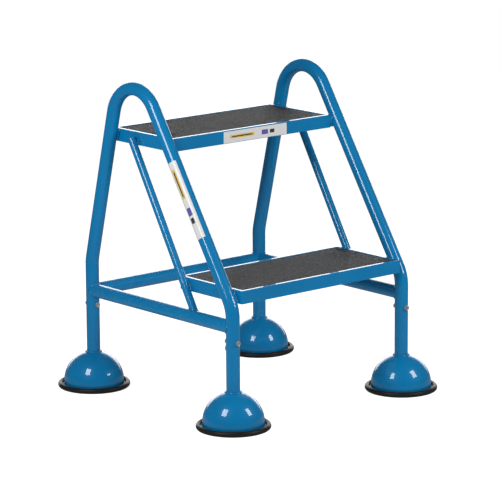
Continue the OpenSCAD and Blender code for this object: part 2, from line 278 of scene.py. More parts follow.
class Look:
    """A material under construction: node() adds a node, join() links two."""

    def __init__(self, name):
        self.material = bpy.data.materials.new(name)
        self.material.use_nodes = True
        self.tree = self.material.node_tree
        self.shader = self.tree.nodes["Principled BSDF"]
        self.place = self.tree.nodes.new("ShaderNodeTexCoord").outputs["Object"]

    def node(self, kind, **values):
        made = self.tree.nodes.new(kind)
        for key, value in values.items():
            if key in made.inputs:
                made.inputs[key].default_value = value
            else:
                setattr(made, key, value)
        return made

    def join(self, source, target):
        self.tree.links.new(source, target)

    def stretched(self, scale):
        """The place of a point, scaled by a different amount along each axis."""
        mapping = self.node("ShaderNodeMapping")
        mapping.inputs["Scale"].default_value = scale
        self.join(self.place, mapping.inputs["Vector"])
        return mapping.outputs["Vector"]

    def grain(self, scale, detail=3.0, vector=None, roughness=0.55):
        """Noise of a given number of features a metre, from 0 to 1."""
        made = self.node("ShaderNodeTexNoise", Scale=scale, Detail=detail, Roughness=roughness)
        self.join(vector or self.place, made.inputs["Vector"])
        return made.outputs["Fac"]

    def ramp(self, value, low, high, out_low, out_high):
        """The value's range low to high, carried over to out_low to out_high."""
        made = self.node("ShaderNodeMapRange")
        ends = {"From Min": low, "From Max": high, "To Min": out_low, "To Max": out_high}
        for key, number in ends.items():
            made.inputs[key].default_value = number
        self.join(value, made.inputs["Value"])
        return made.outputs["Result"]

    def spread(self, noise_value, out_low, out_high):
        """The usual range of a noise, carried over to out_low to out_high."""
        return self.ramp(noise_value, NOISE_LOW, NOISE_HIGH, out_low, out_high)

    def blend(self, share, first, second):
        """A colour between two colours, each a tuple or another node's output."""
        made = self.tree.nodes.new("ShaderNodeMix")
        made.data_type = "RGBA"
        self.join(share, made.inputs["Factor"])
        sockets = [socket for socket in made.inputs if socket.type == "RGBA"]
        for socket, colour in zip(sockets, (first, second)):
            if isinstance(colour, tuple):
                socket.default_value = (*colour, 1.0)
            else:
                self.join(colour, socket)
        return [socket for socket in made.outputs if socket.type == "RGBA"][0]

    def bump(self, height, distance, strength=1.0, under=None):
        made = self.node("ShaderNodeBump", Strength=strength, Distance=distance)
        self.join(height, made.inputs["Height"])
        if under is not None:
            self.join(under, made.inputs["Normal"])
        return made.outputs["Normal"]

    def finish(self, colour=None, roughness=None, normal=None, **values):
        inputs = self.shader.inputs
        for key, value in values.items():
            inputs[key.replace("_", " ")].default_value = value
        for key, source in (("Base Color", colour), ("Roughness", roughness)):
            if isinstance(source, tuple):
                inputs[key].default_value = (*source, 1.0)
            elif isinstance(source, float):
                inputs[key].default_value = source
            elif source is not None:
                self.join(source, inputs[key])
        if normal is not None:
            self.join(normal, inputs["Normal"])
            self.join(normal, inputs["Coat Normal"])
        return self.material


def make_blue_paint():
    """Gloss powder coat: faint shade changes, orange peel, and small scuffs where corners stand out."""
    look = Look("blue_paint")
    shade = look.spread(look.grain(7), 0.0, 1.0)
    colour = look.blend(shade, (0.0012, 0.188, 0.432), (0.0025, 0.210, 0.474))
    edge = look.ramp(look.node("ShaderNodeNewGeometry").outputs["Pointiness"], 0.53, 0.60, 0.0, 1.0)
    scuffs = look.ramp(look.grain(130, 5), 0.52, 0.72, 0.0, 0.22)
    worn = look.node("ShaderNodeMath", operation="MULTIPLY")
    look.join(edge, worn.inputs[0])
    look.join(scuffs, worn.inputs[1])
    colour = look.blend(worn.outputs[0], colour, (0.10, 0.28, 0.48))
    rough = look.spread(look.grain(45, 4), 0.34, 0.42)
    peel = look.bump(look.grain(420, 2), 0.00012, 0.025)
    return look.finish(
        colour, rough, peel,
        Specular_IOR_Level=0.1, Coat_Weight=0.9, Coat_Roughness=0.02, Coat_IOR=1.5)


def make_grip_sheet():
    """Charcoal anti-slip sheet: fine mineral grains in a dark binder, painted glints on a few grains, and
    a little greyer where feet land.
    """
    look = Look("grip_sheet")
    cells = look.node("ShaderNodeTexVoronoi", Scale=620.0)
    look.join(look.place, cells.inputs["Vector"])
    split = look.node("ShaderNodeSeparateColor")
    look.join(cells.outputs["Color"], split.inputs["Color"])
    grains = look.ramp(split.outputs["Red"], 0.15, 1.0, 0.0, 1.0)
    colour = look.blend(grains, (0.016, 0.016, 0.018), (0.062, 0.062, 0.066))
    # Painted glints: a few grains are painted light grey as a highlight that stays bright under any lamp
    painted_glints = look.ramp(split.outputs["Green"], 0.93, 0.97, 0.0, 0.6)
    colour = look.blend(painted_glints, colour, (0.24, 0.24, 0.25))
    dust = look.ramp(look.grain(9, 4), 0.45, 0.75, 0.0, 0.35)
    colour = look.blend(dust, colour, (0.066, 0.065, 0.064))
    rough = look.ramp(split.outputs["Blue"], 0.0, 1.0, 0.62, 0.9)
    grit = look.bump(look.ramp(cells.outputs["Distance"], 0.0, 0.7, 1.0, 0.0), 0.0004, 0.6)
    return look.finish(colour, rough, grit, Specular_IOR_Level=0.22)


def make_rubber():
    look = Look("black_rubber")
    shade = look.grain(30, 4)
    colour = look.blend(shade, (0.012, 0.012, 0.012), (0.022, 0.021, 0.020))
    rough = look.spread(look.grain(90, 5), 0.34, 0.48)
    skin = look.bump(look.grain(900, 2), 0.00010, 0.2)
    return look.finish(colour, rough, skin, Specular_IOR_Level=0.16)


def make_zinc():
    """Bright zinc plate, with the faint warm and cool bloom of its passivation."""
    look = Look("zinc_plate")
    bloom = look.ramp(look.grain(120, 3), 0.35, 0.65, 0.0, 1.0)
    colour = look.blend(bloom, (0.76, 0.77, 0.79), (0.84, 0.82, 0.76))
    rough = look.spread(look.grain(300, 4), 0.36, 0.52)
    brushed = look.bump(look.grain(800, 2), 0.00008, 0.4)
    return look.finish(colour, rough, brushed, Metallic=1.0)


def make_spring_wire():
    look = Look("spring_wire")
    colour = look.blend(look.grain(200, 3), (0.30, 0.30, 0.31), (0.46, 0.46, 0.47))
    drawn = look.bump(look.grain(1500, 2), 0.00006, 0.5)
    return look.finish(colour, look.spread(look.grain(260), 0.25, 0.42), drawn, Metallic=1.0)


def make_nylon():
    look = Look("natural_nylon")
    colour = look.blend(look.grain(60, 3), (0.66, 0.64, 0.56), (0.78, 0.77, 0.70))
    skin = look.bump(look.grain(700, 2), 0.00008, 0.4)
    return look.finish(colour, look.spread(look.grain(110), 0.36, 0.5), skin, Subsurface_Weight=0.1)


def make_wheel_plastic():
    """Grey tread plastic with the fine scuffs that rolling leaves."""
    look = Look("wheel_plastic")
    colour = look.blend(look.grain(90, 4), (0.15, 0.15, 0.16), (0.23, 0.23, 0.24))
    scuff = look.bump(look.grain(600, 4), 0.00015, 0.6)
    return look.finish(colour, look.spread(look.grain(240, 4), 0.42, 0.68), scuff)


def make_plywood():
    """Birch plywood: long grain on its faces and stacked plies on its edges."""
    look = Look("birch_plywood")
    long_grain = look.grain(9, 6, look.stretched((2.2, 26.0, 26.0)), 0.7)
    fine_grain = look.grain(40, 3, look.stretched((1.5, 30.0, 30.0)))
    face = look.blend(look.spread(long_grain, 0.0, 1.0), (0.42, 0.27, 0.13), (0.62, 0.44, 0.24))
    face = look.blend(look.ramp(fine_grain, 0.5, 0.8, 0.0, 0.5), face, (0.30, 0.18, 0.08))
    plies = look.node("ShaderNodeTexWave", Scale=62.0, Distortion=0.4, bands_direction="Z")
    look.join(look.place, plies.inputs["Vector"])
    edge = look.blend(plies.outputs["Fac"], (0.30, 0.18, 0.09), (0.60, 0.43, 0.24))
    facing = look.node("ShaderNodeSeparateXYZ")
    look.join(look.node("ShaderNodeNewGeometry").outputs["Normal"], facing.inputs["Vector"])
    flat = look.node("ShaderNodeMath", operation="ABSOLUTE")
    look.join(facing.outputs["Z"], flat.inputs[0])
    colour = look.blend(flat.outputs[0], edge, face)
    pores = look.bump(fine_grain, 0.00025, 0.5)
    return look.finish(colour, look.spread(long_grain, 0.45, 0.65), pores)


def make_vinyl(name, colour, darker):
    """Printed vinyl film, with a faint unevenness of the ink and of the film."""
    look = Look(name)
    ink = look.blend(look.grain(160, 4), colour, darker)
    film = look.bump(look.grain(260, 2), 0.00008, 0.2)
    return look.finish(ink, look.spread(look.grain(80), 0.24, 0.36), film)


blue_paint = make_blue_paint()
grip_sheet = make_grip_sheet()
black_rubber = make_rubber()
zinc_plate = make_zinc()
spring_wire = make_spring_wire()
natural_nylon = make_nylon()
wheel_plastic = make_wheel_plastic()
birch_plywood = make_plywood()
white_vinyl = make_vinyl("white_vinyl", (0.80, 0.80, 0.79), (0.72, 0.72, 0.72))
amber_print = make_vinyl("amber_print", (0.80, 0.55, 0.08), (0.70, 0.47, 0.06))
charcoal_print = make_vinyl("charcoal_print", (0.03, 0.03, 0.035), (0.05, 0.05, 0.055))
violet_print = make_vinyl("violet_print", (0.13, 0.12, 0.42), (0.10, 0.10, 0.35))

FINISHES = {
    "frame_paint": blue_paint,
    "grip_surface": grip_sheet,
    "board_ply": birch_plywood,
    "ring_rubber": black_rubber,
    "zinc_steel": zinc_plate,
    "spring_steel": spring_wire,
    "nylon": natural_nylon,
    "wheel_plastic": wheel_plastic,
    "label_vinyl": white_vinyl,
}
for subpart in frame["record"]["subparts"]:
    cad_object = frame["nodes"][subpart["node"]]
    for material_slot in cad_object.material_slots:
        material_slot.material = FINISHES[subpart["material_slot"]]


# ======== Places read from the frame ========

def middle(node):
    low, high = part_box(node)
    return (low + high) / 2


def size(node):
    low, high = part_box(node)
    return high - low


def surface_tree(node):
    mesh = frame["nodes"][node].data
    points = [v.co.copy() for v in mesh.vertices]
    return BVHTree.FromPolygons(points, [tuple(p.vertices) for p in mesh.polygons])


HOOPS = {LEFT: "side_hoop_left", RIGHT: "side_hoop_right"}
RAILS = {LEFT: "side_rail_left", RIGHT: "side_rail_right"}
BRACES = {LEFT: "brace_left", RIGHT: "brace_right"}
SIDE_NAMES = {LEFT: "left", RIGHT: "right"}
END_NAMES = {FRONT: "front", REAR: "rear"}
FOOT_AT = {(LEFT, FRONT): "fl", (RIGHT, FRONT): "fr", (LEFT, REAR): "rl", (RIGHT, REAR): "rr"}

hoop_trees = {side: surface_tree(node) for side, node in HOOPS.items()}
brace_trees = {side: surface_tree(node) for side, node in BRACES.items()}
TUBE_R = size("rear_rail").z / 2
BRACE_R = size("brace_left").x / 2
RAIL_Z = middle("rear_rail").z
WALL_HITS = 4
# How far a ray starts beyond the last wall it hit
RAY_STEP = 0.02 * MM
# How far off a tube's middle the rays run, so that they don't run along an edge of its mesh
LEG_RAY_ASIDE = 0.2 * MM
BRACE_RAY_ASIDE = 0.1 * MM


def tube_centre(tree, x, z, end):
    """Where a tube's middle is at a height, from the four walls that a level line through it crosses."""
    start = Vector((x, end * 1.0, z))
    direction = Vector((0, -end, 0))
    hits = []
    while len(hits) < WALL_HITS:
        point = tree.ray_cast(start, direction)[0]
        if point is None:
            break
        hits.append(point.y)
        start = point + direction * RAY_STEP
    return Vector((x, (hits[0] + hits[-1]) / 2, z))


def leg_centre(side, end, z):
    return tube_centre(hoop_trees[side], middle(HOOPS[side]).x + LEG_RAY_ASIDE, z, end)


def brace_centre(side, z):
    return tube_centre(brace_trees[side], middle(BRACES[side]).x + BRACE_RAY_ASIDE, z, FRONT)


# ======== Treads ========

OUTER_TOP_R = 1.8 * MM
OUTER_LOW_R = 0.9 * MM
INNER_R = 0.8 * MM
GRIP_PITCH = 1.5 * MM
GRIP_GRIT = 0.12 * MM
GRIP_GRIT_SCALE = 700
GRIP_EDGE_DROP = 0.35 * MM


def tread_frame(name):
    """The angle-section frame with its folded edges rounded, swept round the tread."""
    low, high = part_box(name)
    height = high.z - low.z
    profile = rounded_outline([
        (0, 0, OUTER_TOP_R),
        (RIM_T, 0, INNER_R),
        (RIM_T, LEDGE_T - height, INNER_R),
        (RIM_T + LEDGE_W, LEDGE_T - height, INNER_R),
        (RIM_T + LEDGE_W, -height, INNER_R),
        (0, -height, OUTER_LOW_R),
    ])
    verts = []
    count = 0
    for inset, drop in profile:
        edge = Vector((inset, inset))
        corner_r = max(TREAD_CORNER_R - inset, INNER_CORNER_R)
        ring = rounded_rectangle(low.xy + edge, high.xy - edge, corner_r)
        count = len(ring)
        verts.extend((x, y, high.z + drop) for x, y in ring)
    faces = grid_faces(len(profile), count, close_rows=True)
    return add_piece(name + "_shell", verts, faces, "frame", blue_paint, (name,))


def tread_grip(name, seed):
    """The grip sheet, with its grit raised grain by grain and its edges rubbed down."""
    low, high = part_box(name)
    across = int(round((high.x - low.x) / GRIP_PITCH))
    deep = int(round((high.y - low.y) / GRIP_PITCH))
    scatter = random.Random(seed)
    verts = []
    for j in range(deep + 1):
        for i in range(across + 1):
            x = low.x + (high.x - low.x) * i / across
            y = low.y + (high.y - low.y) * j / deep
            point = Vector((x, y, high.z))
            grit = 0.5 * noise.noise(point * GRIP_GRIT_SCALE) + scatter.uniform(-0.5, 0.5)
            on_edge = i in (0, across) or j in (0, deep)
            point.z += -GRIP_EDGE_DROP if on_edge else GRIP_GRIT * grit
            verts.append(point)
    columns = across + 1
    faces = grid_faces(deep + 1, columns, close_columns=False)
    border = (
        [i for i in range(columns)]
        + [j * columns + across for j in range(1, deep + 1)]
        + [deep * columns + i for i in range(across - 1, -1, -1)]
        + [j * columns for j in range(deep - 1, 0, -1)]
    )
    first = len(verts)
    for index in border:
        verts.append(Vector((verts[index].x, verts[index].y, low.z)))
    total = len(border)
    for k in range(total):
        after = (k + 1) % total
        faces.append((border[k], first + k, first + after, border[after]))
    faces.append(tuple(range(first, first + total))[::-1])
    return add_piece(
        name + "_sheet", verts, faces, "frame", grip_sheet, (name,), sharp=ROUGH_SHARP_ANGLE)


tread_frame("top_tread_frame")
tread_frame("low_tread_frame")
tread_grip("top_tread_grip", seed=11)
tread_grip("low_tread_grip", seed=12)


# ======== Feet ========

DOME_STEPS = 40
# The gap round the leg in the dome's top, and where the straight skirt starts below the curve
COLLAR_GAP = 0.1 * MM
SKIRT_DROP = 1 * MM
SKIRT_ROOT_R = 1.2 * MM
SKIRT_LIP_R = 0.8 * MM
BRIM_EDGE_R = 0.6 * MM


def dome_arc(radius, from_r, centre_z):
    """Points down a dome, from the radius from_r at its top to its full radius."""
    start = math.acos(from_r / radius)
    points = []
    for k in range(DOME_STEPS + 1):
        angle = start * (1 - k / DOME_STEPS)
        points.append((radius * math.cos(angle), centre_z + radius * math.sin(angle)))
    return points


def dome(foot):
    """The pressed dome, with a rolled root where its skirt turns out into the brim."""
    node = "dome_" + foot
    low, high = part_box(node)
    centre = middle(node)
    brim_r = (high.x - low.x) / 2
    collar_r = TUBE_R + COLLAR_GAP
    outer = dome_arc(DOME_R, collar_r, DOME_CENTRE_Z)
    inner = dome_arc(DOME_R - DOME_T, collar_r, DOME_CENTRE_Z)
    skirt = rounded_outline([
        (DOME_R, DOME_CENTRE_Z - SKIRT_DROP, 0),
        (DOME_R, low.z + DOME_T, SKIRT_ROOT_R),
        (brim_r, low.z + DOME_T, BRIM_EDGE_R),
        (brim_r, low.z, BRIM_EDGE_R),
        (DOME_R - DOME_T, low.z, SKIRT_LIP_R),
        (DOME_R - DOME_T, DOME_CENTRE_Z - SKIRT_DROP, 0),
    ])
    outline = outer + [tuple(p) for p in skirt] + inner[::-1]
    lathe(node + "_shell", outline, centre, "frame", blue_paint, (node,))


RING_STEPS = 7
RING_SEAT_GAP = 0.05 * MM
# The outer lip's radius, as a share of half the ring's height
RING_LIP_SHARE = 0.96
RING_HEEL_R = 0.7 * MM
# The groove next to the dome: its floor, its outer wall and that wall's slope, and its rounded edges
RING_GROOVE_Z = 5.8 * MM
RING_GROOVE_R = 64.2 * MM
RING_GROOVE_SLOPE = 0.8 * MM
RING_GROOVE_EDGE_R = 3.0 * MM
RING_GROOVE_ROOT_R = 0.5 * MM
RING_SEAT_R = 0.3 * MM


def floor_ring(foot):
    """The moulded rubber ring: a round lip outside, and a groove between the lip and the dome."""
    node = "floor_ring_" + foot
    low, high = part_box(node)
    outer_r = (high.x - low.x) / 2
    lip_r = (high.z - low.z) / 2 * RING_LIP_SHARE
    inner_r = DOME_R + RING_SEAT_GAP
    outline = rounded_outline([
        (inner_r, low.z, RING_HEEL_R),
        (outer_r, low.z, lip_r),
        (outer_r, high.z, lip_r),
        (RING_GROOVE_R + RING_GROOVE_SLOPE, high.z, RING_GROOVE_EDGE_R),
        (RING_GROOVE_R, RING_GROOVE_Z, RING_GROOVE_ROOT_R),
        (inner_r, RING_GROOVE_Z, RING_SEAT_R),
    ], steps=RING_STEPS)
    outline = [tuple(point) for point in outline]
    lathe(node + "_moulding", outline, middle(node), "frame", black_rubber, (node,))


for foot in FEET:
    dome(foot)
    floor_ring(foot)


# ======== Bolts and nuts ========

HEX_SIDES = 96
THREAD_PITCH = 1.0 * MM
THREAD_DEPTH = 0.45 * MM
BOLT_HEAD_T = 4 * MM
NUT_T = 5 * MM
BOLT_TAIL = 2 * MM
SEAT_GAP = 0.05 * MM
HEX_AF = 10 * MM
HEX_STEP = math.pi / 3
HEX_CORNER_R = HEX_AF / math.sqrt(3)
# The head's dished face, and the chamfer that rounds off the corners of a head or nut
HEAD_DISH = 0.25 * MM
HEAD_DISH_R = HEX_AF * 0.36
HEAD_FACE_R = HEX_AF * 0.40
HEAD_MIDDLE_R = 0.2 * MM
HEAD_CHAMFER = 0.55 * MM
NUT_CHAMFER = 0.5 * MM
HEX_CHAMFER_R = HEX_AF * 0.475
NUT_MOUTH = 0.4 * MM
TIP_CHAMFER = 0.6 * MM


def turned(rings, centre, close_ends=True):
    """A piece along Y through (place, radius, hexagonal) rings; hexagonal rings keep six flats."""
    verts = []
    for y, radius, hexagonal in rings:
        for k in range(HEX_SIDES):
            angle = 2 * math.pi * k / HEX_SIDES
            reach = radius
            if hexagonal:
                from_flat = (angle + HEX_STEP / 2) % HEX_STEP - HEX_STEP / 2
                reach = min(radius, HEX_AF / 2 / math.cos(from_flat))
            x = centre.x + reach * math.cos(angle)
            z = centre.z + reach * math.sin(angle)
            verts.append((x, centre.y + y, z))
    faces = [face[::-1] for face in grid_faces(len(rings), HEX_SIDES)]
    if close_ends:
        faces.append(tuple(range(HEX_SIDES)))
        faces.append(tuple(range((len(rings) - 1) * HEX_SIDES, len(rings) * HEX_SIDES))[::-1])
    return verts, faces


def bolt_rings():
    """From the head's face to the tip of the thread, with y = 0 at the middle of the leg."""
    seat = -TUBE_R - SEAT_GAP
    face = seat - BOLT_HEAD_T
    tip = TUBE_R + NUT_T + BOLT_TAIL
    rings = [
        (face + HEAD_DISH, HEAD_MIDDLE_R, False),
        (face + HEAD_DISH, HEAD_DISH_R, False),
        (face, HEAD_FACE_R, False),
        (face, HEX_CHAMFER_R, True),
        (face + HEAD_CHAMFER, HEX_CORNER_R, True),
        (seat, HEX_CORNER_R, True),
        (seat, BOLT_R, False),
        (TUBE_R, BOLT_R, False),
    ]
    turns = int((tip - TUBE_R) / THREAD_PITCH * 2)
    for k in range(1, turns):
        depth = THREAD_DEPTH if k % 2 else 0
        rings.append((TUBE_R + k * THREAD_PITCH / 2, BOLT_R - depth, False))
    rings.append((tip, BOLT_R - TIP_CHAMFER, False))
    return rings


def nut_rings():
    near = TUBE_R + SEAT_GAP
    far = near + NUT_T
    bore_r = BOLT_R + SEAT_GAP
    return [
        (near, bore_r, False),
        (near, HEX_CHAMFER_R, True),
        (near + NUT_CHAMFER, HEX_CORNER_R, True),
        (far - NUT_CHAMFER, HEX_CORNER_R, True),
        (far, HEX_CHAMFER_R, True),
        (far, bore_r + NUT_MOUTH, False),
        (far - NUT_MOUTH, bore_r, False),
    ]


def fasteners(node, rings, closed_bore):
    """Four alike fasteners as one piece, one on each leg, standing for one CAD node."""
    verts, faces = [], []
    height = middle(node).z
    for foot in FEET:
        centre = middle("dome_" + foot)
        centre.z = height
        more_verts, more_faces = turned(rings, centre, close_ends=not closed_bore)
        if closed_bore:
            last = (len(rings) - 1) * HEX_SIDES
            for k in range(HEX_SIDES):
                after = (k + 1) % HEX_SIDES
                more_faces.append((last + after, after, k, last + k)[::-1])
        first = len(verts)
        verts.extend(more_verts)
        faces.extend(tuple(first + i for i in face) for face in more_faces)
    add_piece(
        node + "_turned", verts, faces, "frame", zinc_plate, (node,), sharp=HEX_SHARP_ANGLE)


fasteners("leg_bolts", bolt_rings(), closed_bore=False)
fasteners("leg_nuts", nut_rings(), closed_bore=True)


# ======== Welds ========

SADDLE_POINTS = 72
SADDLE_BEAD_R = 1.7 * MM
# A saddle's bead lies a little above the main tube, a little outside the joining tube, and never
# nearer the main tube's axis than this
SADDLE_LIFT = 0.5 * MM
SADDLE_SPREAD = 1.03
SADDLE_NEAREST = 2.2 * MM
# The bead in the corner between a leg and its dome
COLLAR_BEAD_OUT = 1.1 * MM
COLLAR_BEAD_R = 2.4 * MM
# The bead round a brace's foot, and how far down the rail's flanks it may reach
BRACE_FOOT_LIFT = 0.4 * MM
BRACE_FOOT_BEAD_R = 1.6 * MM
RAIL_FLANK_SHARE = 0.985
# Heights on a brace, as shares of its own height, that fix its centreline
BRACE_LOW_SHARE = 0.25
BRACE_HIGH_SHARE = 0.85
# The beads where a tube lies against a tread: their places round the tube and their ends
CONTACT_STEPS = 8
CONTACT_BEAD_R = 1.7 * MM
CONTACT_SHARE = 0.74
CONTACT_SHARE_MAX = 0.99
CONTACT_GAP = 0.1 * MM
CONTACT_COVER = 0.5 * MM
CONTACT_OVERHANG = 0.3 * MM
CONTACT_INSET = 1.5 * MM
BRACE_END_CLEAR = 5 * MM
# The brace's welded-over end: (share of the brace's radius, height in millimetres) from its rim up
CAP_SIDES = 40
CAP_PROFILE = ((0.98, -1.6), (0.985, 0.1), (0.93, 0.6), (0.7, 1.2), (0.4, 1.55), (0.1, 1.7))
CAP_UNEVENNESS = 0.03
CAP_NOISE_SCALE = 3
CAP_NOISE_STEP = 5


def tube_saddle(name, centre, along, across, radius, main_radius):
    """The bead where a tube that runs along meets, at right angles, the round side of a main tube."""
    points = []
    for k in range(SADDLE_POINTS):
        angle = 2 * math.pi * k / SADDLE_POINTS
        side_step = radius * math.cos(angle)
        rise = radius * math.sin(angle)
        reach = math.sqrt(max(main_radius ** 2 - side_step ** 2, 0.0))
        reach = max(reach, SADDLE_NEAREST) + SADDLE_LIFT
        level = across[0] * side_step * SADDLE_SPREAD
        upright = across[1] * rise * SADDLE_SPREAD
        points.append(centre + along * reach + level + upright)
    weld_bead(name, points, closed=True, radius=SADDLE_BEAD_R)


def rail_welds():
    up = Vector((0, 0, 1))
    for side in (LEFT, RIGHT):
        x = middle(HOOPS[side]).x
        for end in (FRONT, REAR):
            leg = leg_centre(side, end, RAIL_Z)
            centre = Vector((x, leg.y, RAIL_Z))
            name = f"weld_side_rail_{FOOT_AT[side, end]}"
            tube_saddle(name, centre, Vector((0, -end, 0)), (Vector((1, 0, 0)), up), TUBE_R, TUBE_R)
        rear = Vector((x, leg_centre(side, REAR, RAIL_Z).y, RAIL_Z))
        name = f"weld_rear_rail_{SIDE_NAMES[side]}"
        tube_saddle(name, rear, Vector((-side, 0, 0)), (Vector((0, 1, 0)), up), TUBE_R, TUBE_R)


def dome_welds():
    """The bead round each leg where it enters its dome."""
    height = DOME_CENTRE_Z + math.sqrt(DOME_R ** 2 - TUBE_R ** 2)
    for foot in FEET:
        centre = middle("dome_" + foot)
        points = []
        for k in range(SADDLE_POINTS):
            angle = 2 * math.pi * k / SADDLE_POINTS
            reach = TUBE_R + COLLAR_BEAD_OUT
            x = centre.x + reach * math.cos(angle)
            y = centre.y + reach * math.sin(angle)
            points.append(Vector((x, y, height)))
        weld_bead("weld_dome_" + foot, points, closed=True, radius=COLLAR_BEAD_R)


def brace_axis(side):
    """A point on the brace's centreline, low on the tube, and its direction upward."""
    low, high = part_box(BRACES[side])
    below = brace_centre(side, low.z + BRACE_LOW_SHARE * (high.z - low.z))
    above = brace_centre(side, low.z + BRACE_HIGH_SHARE * (high.z - low.z))
    return below, (above - below).normalized()


def brace_foot_weld(side):
    """The bead round a brace's foot, where it stands on the round of the side rail."""
    point, direction = brace_axis(side)
    level = Vector((1, 0, 0))
    normal = direction.cross(level)
    rail_x = middle(RAILS[side]).x
    points = []
    for k in range(SADDLE_POINTS):
        angle = 2 * math.pi * k / SADDLE_POINTS
        rim = point + (level * math.cos(angle) + normal * math.sin(angle)) * (BRACE_R + BRACE_FOOT_LIFT)
        aside = min(abs(rim.x - rail_x), TUBE_R * RAIL_FLANK_SHARE)
        top = RAIL_Z + math.sqrt(TUBE_R ** 2 - aside ** 2) + BRACE_FOOT_LIFT
        points.append(rim + direction * ((top - rim.z) / direction.z))
    weld_bead(f"weld_brace_foot_{SIDE_NAMES[side]}", points, closed=True, radius=BRACE_FOOT_BEAD_R)


def contact_welds(name, side, centre_at, radius, tread, span):
    """The two beads along a round tube where it lies against the flat side of a tread."""
    low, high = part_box(tread)
    face_x = high.x if side == RIGHT else low.x
    z_low, z_high = span
    rise = centre_at(z_high) - centre_at(z_low)
    lean = math.cos(math.atan2(abs(rise.y), rise.z))
    offset = CONTACT_SHARE * radius
    for edge in (FRONT, REAR):
        points = []
        widest = 0.0
        for k in range(CONTACT_STEPS + 1):
            z = z_low + (z_high - z_low) * k / CONTACT_STEPS
            centre_y = centre_at(z).y
            y = centre_y + edge * offset / lean
            y = min(max(y, low.y - CONTACT_OVERHANG), high.y + CONTACT_OVERHANG)
            aside = min(abs(y - centre_y) * lean, radius * CONTACT_SHARE_MAX)
            gap = radius - math.sqrt(radius ** 2 - aside ** 2)
            widest = max(widest, gap)
            points.append(Vector((face_x + side * (CONTACT_GAP + gap / 2), y, z)))
        bead_r = max(CONTACT_BEAD_R, widest / 2 + CONTACT_COVER)
        weld_bead(f"{name}_{END_NAMES[edge]}", points, radius=bead_r)


def tread_welds():
    top_low, top_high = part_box("top_tread_frame")
    low_low, low_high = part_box("low_tread_frame")
    top_span = (top_low.z + CONTACT_INSET, top_high.z - CONTACT_INSET)
    low_span = (low_low.z + CONTACT_INSET, low_high.z - CONTACT_INSET)
    for side in (LEFT, RIGHT):
        word = SIDE_NAMES[side]
        for end in (FRONT, REAR):
            contact_welds(
                f"weld_top_tread_{word}_{END_NAMES[end]}_leg", side,
                lambda z, s=side, e=end: leg_centre(s, e, z), TUBE_R, "top_tread_frame", top_span)
        contact_welds(
            f"weld_low_tread_{word}_leg", side,
            lambda z, s=side: leg_centre(s, FRONT, z), TUBE_R, "low_tread_frame", low_span)
        contact_welds(
            f"weld_low_tread_{word}_brace", side,
            lambda z, s=side: brace_centre(s, z), BRACE_R, "low_tread_frame", low_span)
        brace_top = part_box(BRACES[side])[1].z
        brace_span = (top_low.z + CONTACT_INSET, brace_top - BRACE_END_CLEAR)
        contact_welds(
            f"weld_top_tread_{word}_brace", side,
            lambda z, s=side: brace_centre(s, z), BRACE_R, "top_tread_frame", brace_span)


def brace_cap(side):
    """The welded-over end of a brace, as a low crown a little inside its rim."""
    point, direction = brace_axis(side)
    high_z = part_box(BRACES[side])[1].z
    level = Vector((1, 0, 0))
    normal = direction.cross(level)
    top = point + direction * ((high_z - abs(normal.z) * BRACE_R - point.z) / direction.z)
    verts = []
    for share, rise in CAP_PROFILE:
        for k in range(CAP_SIDES):
            angle = 2 * math.pi * k / CAP_SIDES
            ring = level * math.cos(angle) + normal * math.sin(angle)
            place = ring * CAP_NOISE_SCALE + Vector((share * CAP_NOISE_STEP, side, 0))
            wander = 1 + CAP_UNEVENNESS * noise.noise(place)
            verts.append(top + ring * (BRACE_R * share * wander) + direction * (rise * MM))
    faces = [face[::-1] for face in grid_faces(len(CAP_PROFILE), CAP_SIDES)]
    faces.append(tuple(range(CAP_SIDES)))
    last = (len(CAP_PROFILE) - 1) * CAP_SIDES
    faces.append(tuple(range(last, last + CAP_SIDES))[::-1])
    add_piece(f"brace_cap_{SIDE_NAMES[side]}", verts, faces, "frame", blue_paint)


rail_welds()
dome_welds()
tread_welds()
for side in (LEFT, RIGHT):
    brace_foot_weld(side)
    brace_cap(side)


# ======== Label print: plain bars only ========

PRINT_T = 0.06 * MM
PRINT_STEPS = 12
# How far the lowest ink is above the label, as a share of the ink's thickness
PRINT_LIFT = 0.2
# Each bar: its start and end along the label, its low and high edge across it, and its ink
PRINT_BARS = (
    (0.10, 0.48, 0.36, 0.64, amber_print),
    (0.13, 0.45, 0.45, 0.55, charcoal_print),
    (0.60, 0.70, 0.30, 0.70, violet_print),
    (0.73, 0.80, 0.34, 0.66, charcoal_print),
)


def print_bar(name, place, start, end, low, high, ink, lift):
    """A thin block of ink on a label; place(along, across, height) gives its points."""
    verts = []
    for height in (lift, lift + PRINT_T):
        for i in range(PRINT_STEPS + 1):
            for j in range(PRINT_STEPS + 1):
                along = start + (end - start) * i / PRINT_STEPS
                across = low + (high - low) * j / PRINT_STEPS
                verts.append(place(along, across, height))
    columns = PRINT_STEPS + 1
    layer = columns * columns
    under = grid_faces(columns, columns, close_columns=False)
    faces = [face[::-1] for face in under] + [tuple(layer + i for i in face) for face in under]
    border = (
        [i for i in range(columns)]
        + [j * columns + PRINT_STEPS for j in range(1, columns)]
        + [PRINT_STEPS * columns + i for i in range(PRINT_STEPS - 1, -1, -1)]
        + [j * columns for j in range(PRINT_STEPS - 1, 0, -1)]
    )
    for k, here in enumerate(border):
        after = border[(k + 1) % len(border)]
        faces.append((here, after, layer + after, layer + here))
    return add_piece(name, verts, faces, "frame", ink)


def top_label_place(along, across, height):
    low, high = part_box("top_tread_label")
    return Vector((
        low.x + (high.x - low.x) * along,
        low.y - height,
        low.z + (high.z - low.z) * across,
    ))


